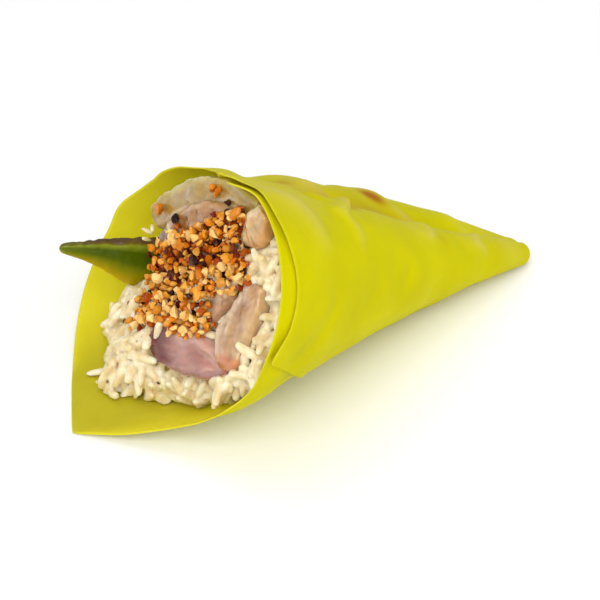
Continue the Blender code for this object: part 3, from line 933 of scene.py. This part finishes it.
def fish_look():
    """Moist raw fish, see-through at thin edges, with faint fibre lines."""
    if "raw_fish_look" in bpy.data.materials:
        return bpy.data.materials["raw_fish_look"]
    look, tree, shader = material("raw_fish_look", 0.3, 0.3)
    wave = node(tree, "ShaderNodeTexWave", wave_type="BANDS", bands_direction="DIAGONAL")
    wave.inputs["Scale"].default_value = 160
    wave.inputs["Distortion"].default_value = 14.0
    wave.inputs["Detail"].default_value = 3.0
    wave.inputs["Detail Scale"].default_value = 0.6
    tree.links.new(object_place(tree), wave.inputs["Vector"])
    lines = ramp(tree, wave.outputs["Fac"], [(0.0, (0.93, 0.91, 0.88)), (1.0, (1.04, 1.04, 1.04))])
    colour = mix(tree, 1.0, attribute(tree, "tint").outputs["Color"], lines, "MULTIPLY")
    tree.links.new(colour, shader.inputs["Base Color"])
    shader.inputs["Subsurface Weight"].default_value = 0.7
    shader.inputs["Subsurface Radius"].default_value = (1.0, 0.6, 0.35)
    shader.inputs["Subsurface Scale"].default_value = 0.0045
    shader.inputs["Coat Weight"].default_value = 0.9
    shader.inputs["Coat Roughness"].default_value = 0.1
    bump(tree, shader, noise_value(tree, 260, 4, 0.6), 0.6, 0.0008)
    return look


# ---------------------------------------------------------------- avocado

# along, side, height, half height, top half width, bottom half width
AVOCADO_SECTIONS = [
    (92, 19.5, -5.5, 5.8, 2.6, 1.3), (108, 22.8, -6.6, 6.9, 2.8, 1.5), (115, 24.2, -6.5, 6.5, 2.6, 1.4),
    (122, 26.2, -5.2, 4.3, 2.3, 1.2), (128, 27.6, -4.2, 2.6, 1.8, 0.9), (132, 28.4, -3.9, 1.6, 1.3, 0.8),
    (133.6, 28.8, -3.8, 1.1, 0.9, 0.6), (134.1, 28.9, -3.8, 0.4, 0.4, 0.3),
]


def make_avocado():
    """A lengthwise slice of avocado: broad skin side on top, narrow inner edge below, pointed end."""
    along_knots = [section[0] for section in AVOCADO_SECTIONS]
    stations = np.concatenate([np.linspace(92, 110, 10), np.linspace(111, 134.1, 60)])
    columns = 64
    t = np.linspace(0, 2 * math.pi, columns, endpoint=False)
    rise = np.sin(t)
    rings = []
    for along in stations:
        side, height, half_height, top, bottom = (
            float(smooth_curve(list(zip(along_knots, column)), along))
            for column in list(zip(*AVOCADO_SECTIONS))[1:])
        half_width = bottom + (top - bottom) * (1 + rise) / 2
        across = np.sign(np.cos(t)) * np.abs(np.cos(t)) ** 0.8 * half_width
        rings.append(inner_points(np.full(columns, along), side + across, height + rise * half_height))
    points = np.concatenate(rings)
    rises = np.tile(rise, len(stations))
    faces = grid_faces(len(rings), columns, closed=True)
    faces.append(tuple(range(columns)))
    faces.append(tuple(range(len(points) - columns, len(points))))
    piece = new_object("avocado_slice", points, faces)
    orient_outwards(piece)
    normals = np.array([vertex.normal[:] for vertex in piece.data.vertices])
    skin = ease(0.62, 0.85, rises)
    along = (points - APEX) @ axis(FILLING_TILT)
    bumps = relief(points, 2.4, 0.45, 3) * (0.3 + 0.7 * skin) + relief(points * [0.5, 1, 1], 1.4, 0.12, 2)
    bumps = bumps * (1 - 0.6 * ease(128, 134, along))
    piece.data.vertices.foreach_set("co", ((points + normals * bumps[:, None]) * MM).ravel())
    piece.data.update()
    paint(piece, "rise", rises)
    paint(piece, "tip", ease(124, 134, along))
    finish_piece(piece, avocado_look(), "avocado", "avocado")
    return piece


def avocado_look():
    """Flesh from yellow-green at the inner edge to deep green, with a light green strip painted as a highlight just
    under a brown-green outer side.
    """
    look, tree, shader = material("avocado_look", 0.36, 0.1)
    half = node(tree, "ShaderNodeMath", operation="MULTIPLY_ADD")
    half.inputs[1].default_value = 0.5
    half.inputs[2].default_value = 0.43
    tree.links.new(attribute(tree, "rise").outputs["Fac"], half.inputs[0])
    uneven = node(tree, "ShaderNodeMath", operation="MULTIPLY_ADD")
    uneven.inputs[1].default_value = 0.14
    tree.links.new(noise_value(tree, 320, 4, 0.6), uneven.inputs[0])
    tree.links.new(half.outputs[0], uneven.inputs[2])
    # the light green stop at 0.9 is a painted highlight just under the skin
    colour = ramp(tree, uneven.outputs[0], [
        (0.0, srgb(186, 158, 0)), (0.14, srgb(162, 144, 0)), (0.34, srgb(122, 126, 0)),
        (0.52, srgb(78, 96, 0)), (0.76, srgb(70, 88, 0)), (0.9, srgb(130, 142, 30)), (0.945, srgb(104, 84, 26)),
        (1.0, srgb(84, 62, 30))])
    tipped = mix(tree, attribute(tree, "tip").outputs["Fac"], colour, srgb(112, 122, 20))
    softened = mix(tree, 0.5, colour, tipped)
    tree.links.new(softened, shader.inputs["Base Color"])
    shader.inputs["Subsurface Weight"].default_value = 0.15
    shader.inputs["Subsurface Radius"].default_value = (0.8, 1.0, 0.2)
    shader.inputs["Subsurface Scale"].default_value = 0.0012
    shader.inputs["Coat Weight"].default_value = 0.15
    shader.inputs["Coat Roughness"].default_value = 0.2
    bump(tree, shader, noise_value(tree, 520, 4), 0.3, 0.0005)
    return look


# ---------------------------------------------------------------- crumbs

# outline of the heap in the mouth plane, and how much of it is covered near a few bare spots
CRUMB_OUTLINE = [(17.4, 5), (13.5, 8.5), (8, 11.5), (3, 16), (-3, 22), (-7, 25.5), (-10.5, 28), (-12.4, 26.5),
                 (-12.2, 22.8), (-16.5, 19), (-20.5, 17), (-19, 11), (-12, 5.5), (-10.5, 1.5), (-13, -1),
                 (-12.5, -6.5), (-8, -8.5), (0, -9), (4, -10.5), (7, -14), (9.5, -17), (12.5, -16),
                 (14.2, -12.5), (16.8, -9), (18.5, -5), (18, -1)]
# the heap fills the hollows between the slices up to here
HEAP_BOTTOM = 112.0
BARE_SPOTS = [(-12.4, 18.5, 2.4), (-13.0, 3.0, 1.6)]
# crumbs lying by themselves: side, height, size, shade (0 pale to 1 burnt)
LONE_CRUMBS = [(24.1, 8.2, 4.2, 0.34), (14.3, 10.7, 2.8, 1.0), (14.1, 9.0, 2.8, 0.5), (4.8, 25.1, 2.8, 0.35),
               (2.7, 24.9, 2.6, 0.42), (3.6, 23.4, 2.2, 0.32), (5.2, 23.8, 1.8, 0.4), (-3.4, 25.2, 2.4, 0.92),
               (-5.0, 23.8, 1.8, 0.9), (-9.0, 24.6, 2.8, 0.55), (-11.2, 25.6, 2.6, 0.5), (-7.2, 24.2, 2.4, 0.58),
               (21.0, -9.3, 1.8, 0.5), (18.4, -7.6, 2.0, 0.95), (18.5, -15.0, 1.6, 0.5), (-3.5, -9.8, 2.8, 0.0),
               (-4.2, -5.6, 3.0, 0.02), (3.4, -8.2, 1.4, 0.7), (-2.0, 21.5, 1.5, 0.3),
               (14.5, -17.0, 2.4, 0.3), (12.0, -18.6, 1.8, 0.25)]
CRUMB_SHADES = [(0.0, srgb(246, 214, 144)), (0.2, srgb(232, 168, 58)), (0.4, srgb(208, 118, 6)),
                (0.6, srgb(172, 68, 0)), (0.78, srgb(114, 32, 0)), (0.9, srgb(62, 18, 2)),
                (1.0, srgb(32, 13, 8))]


def crumb_form(draw):
    """One broken bit of unit size: a chunk with a few flat broken sides."""
    form = bmesh.new()
    bmesh.ops.create_icosphere(form, subdivisions=2, radius=0.5)
    points = np.array([vertex.co[:] for vertex in form.verts])
    faces = [tuple(vertex.index for vertex in face.verts) for face in form.faces]
    form.free()
    points = points * np.array([draw.uniform(0.9, 1.5), draw.uniform(0.7, 1.0), draw.uniform(0.5, 0.85)])
    for _ in range(8):
        side = np.array([draw.gauss(0, 1) for _ in range(3)])
        side = side / np.linalg.norm(side)
        limit = draw.uniform(0.16, 0.34)
        points = points - np.maximum(points @ side - limit, 0)[:, None] * side
    shift = draw.uniform(0, 50)
    return points * (1 + 0.35 * relief(points + shift, 0.5, 1.0, 2)[:, None]), faces


def in_outline(side, height, outline):
    """Whether a place in the mouth plane lies inside a closed outline."""
    inside = False
    for (x0, y0), (x1, y1) in zip(outline, outline[1:] + outline[:1]):
        if (y0 > height) != (y1 > height) and side < (x1 - x0) * (height - y0) / (y1 - y0) + x0:
            inside = not inside
    return inside


def crumb_shade(draw, side, height, layer):
    """How dark a crumb is, 0 pale to 1 burnt: toasted darkest in a band across the middle, and darker low in the heap,
    partly sauce and partly painted shade.
    """
    band = math.exp(-((height - 8.0 + 0.62 * (side - 2.0)) / 3.4) ** 2)
    corner = float(ease(4, 15, side) * ease(2, -8, height))
    shade = abs(draw.gauss(0.0, 0.24)) + 0.5 * band * draw.random() + 0.25 * corner * draw.random()
    # the lowest layer, seen in the gaps, is darker: partly sauce, partly painted shade between the crumbs
    if layer == 0:
        shade += draw.uniform(0.2, 0.6)
    if draw.random() < 0.03 + 0.12 * band:
        shade = draw.uniform(0.75, 1.0)
    return min(shade, 1.0)


def shade_colour(shade):
    """Colour of a crumb for a shade from 0 pale to 1 burnt."""
    places = [stop[0] for stop in CRUMB_SHADES]
    return np.array([np.interp(shade, places, [stop[1][k] for stop in CRUMB_SHADES]) for k in range(3)])


def add_crumb(crumbs, draw, place, normal, size, shade):
    """Put one crumb on a place, turned at random."""
    form, faces = crumb_form(draw)
    direction = np.array([draw.gauss(0, 1) for _ in range(3)])
    bit = turned(form * size, direction, normal, draw.uniform(0, 6.28)) + place
    tint = shade_colour(shade) * draw.uniform(0.94, 1.16)
    crumbs.add(keep_inside(bit, 0.1), faces, np.clip(tint, 0, 1))


def make_crumbs(ground):
    """Toasted crumbs heaped on whatever is under them, and some lying by themselves."""
    draw = random.Random(11)
    crumbs = Scatter()
    inwards = Vector(-axis(FILLING_TILT))
    for layer, sizes, tries in ((0, (1.5, 2.8), 2200), (1, (1.7, 3.3), 1700), (2, (1.9, 3.6), 1100), (3, (0.8, 1.4), 900)):
        spots = Spots(3.4)
        for _ in range(tries):
            side = draw.uniform(-22, 20)
            height = draw.uniform(-19, 29)
            if not in_outline(side, height, CRUMB_OUTLINE):
                continue
            bare = min(math.hypot(side - x, height - y) - radius for x, y, radius in BARE_SPOTS)
            if bare < 0 and draw.random() < 0.9:
                continue
            met = first_hit(inner_points(150, side, height), inwards, ground)
            if met is None:
                continue
            sunk = max(HEAP_BOTTOM - (met[0] - APEX) @ axis(FILLING_TILT), 0.0)
            size = draw.uniform(*sizes)
            rise = (0.3, 1.5, 2.7, 1.6)[layer] * min(1.0, 0.5 + 0.5 * abs(draw.gauss(0.8, 0.4)))
            place = met[0] + 0.25 * size * met[1] + (rise + sunk) * axis(FILLING_TILT)
            if not spots.is_free(place, (0.66 if layer == 0 else 0.8) * size):
                continue
            spots.keep(place)
            add_crumb(crumbs, draw, place, met[1], size, crumb_shade(draw, side, height, layer))
    for side, height, size, shade in LONE_CRUMBS:
        met = first_hit(inner_points(150, side, height), inwards, ground)
        if met is not None:
            add_crumb(crumbs, draw, met[0] + 0.3 * size * met[1], met[1], size, shade)
    piece = crumbs.make("crumbs")
    piece.data.set_sharp_from_angle(angle=math.radians(38))
    finish_piece(piece, crumb_look(), "toasted_crumbs", "crumble")
    return piece


def crumb_look():
    """Toasted bits, cream to dark brown, slightly oily."""
    look, tree, shader = material("crumb_look", 0.26, 0.25)
    shade = ramp(tree, noise_value(tree, 700, 3), [(0.34, (0.86, 0.7, 0.48)), (0.56, (1.03, 1.02, 1.0))])
    colour = mix(tree, 1.0, attribute(tree, "tint").outputs["Color"], shade, "MULTIPLY")
    tree.links.new(colour, shader.inputs["Base Color"])
    shader.inputs["Subsurface Weight"].default_value = 0.1
    shader.inputs["Subsurface Radius"].default_value = (1.0, 0.6, 0.25)
    shader.inputs["Subsurface Scale"].default_value = 0.0006
    bump(tree, shader, noise_value(tree, 1500, 3), 0.35, 0.0002)
    return look


# ---------------------------------------------------------------- table, light and camera

def make_stage():
    """Plain pale floor."""
    floor = new_object("table", [(-900, -900, 0), (900, -900, 0), (900, 900, 0), (-900, 900, 0)],
                       [(0, 1, 2, 3)], smooth=False)
    look, tree, shader = material("table_look", 0.9, 0.1)
    shader.inputs["Base Color"].default_value = (0.98, 0.98, 0.98, 1)
    floor.data.materials.append(look)


def make_light(name, place, target, size, power):
    """Soft square light in millimetres, aimed at a target."""
    data = bpy.data.lights.new(name, "AREA")
    data.energy = power
    data.size = size * MM
    lamp = bpy.data.objects.new(name, data)
    lamp.location = Vector(place) * MM
    lamp.rotation_euler = (Vector(target) - Vector(place)).to_track_quat("-Z", "Y").to_euler()
    bpy.context.collection.objects.link(lamp)


def make_lights():
    """A broad key light from the front left above, a fill from the right and a bright surround."""
    make_light("key", (-440, -500, 700), (0, 0, 20), 600, 5.7)
    make_light("fill", (600, -500, 380), (0, 0, 20), 600, 1.6)
    make_light("top", (40, 200, 800), (0, 0, 20), 700, 1.4)
    world = bpy.data.worlds.new("surround")
    world.use_nodes = True
    world.node_tree.nodes["Background"].inputs["Color"].default_value = (1, 1, 1, 1)
    world.node_tree.nodes["Background"].inputs["Strength"].default_value = 0.5
    bpy.context.scene.world = world
    bpy.context.scene.view_settings.view_transform = "Standard"


CAMERA_TURN = -32.2
CAMERA_RISE = 37.2
CAMERA_DISTANCE = 620.0
CAMERA_TARGET = APEX + (-58.75, 32.05, -13.3)
FRAME_WIDTH = 600 / 3.7


def make_camera():
    """Camera to the front left of the roll, looking down on it and into its mouth."""
    turn, rise = math.radians(CAMERA_TURN), math.radians(CAMERA_RISE)
    back = Vector((math.sin(turn) * math.cos(rise), -math.cos(turn) * math.cos(rise), math.sin(rise)))
    data = bpy.data.cameras.new("camera")
    data.sensor_width = 36.0
    data.lens = data.sensor_width * CAMERA_DISTANCE / FRAME_WIDTH
    data.clip_start = 0.01
    camera = bpy.data.objects.new("camera", data)
    camera.location = (Vector(CAMERA_TARGET) + back * CAMERA_DISTANCE) * MM
    camera.rotation_euler = back.to_track_quat("Z", "Y").to_euler()
    bpy.context.collection.objects.link(camera)
    bpy.context.scene.camera = camera


def main():
    make_stage()
    make_lights()
    make_camera()
    make_wrap()
    slices = [make_slice(*form) for form in SLICES]
    avocado = make_avocado()
    solids = [tree_of(piece) for piece in slices + [avocado]]
    core = make_rice_core()
    grains = make_rice_grains(solids)
    make_crumbs(solids + [tree_of(core), tree_of(grains)])


main()
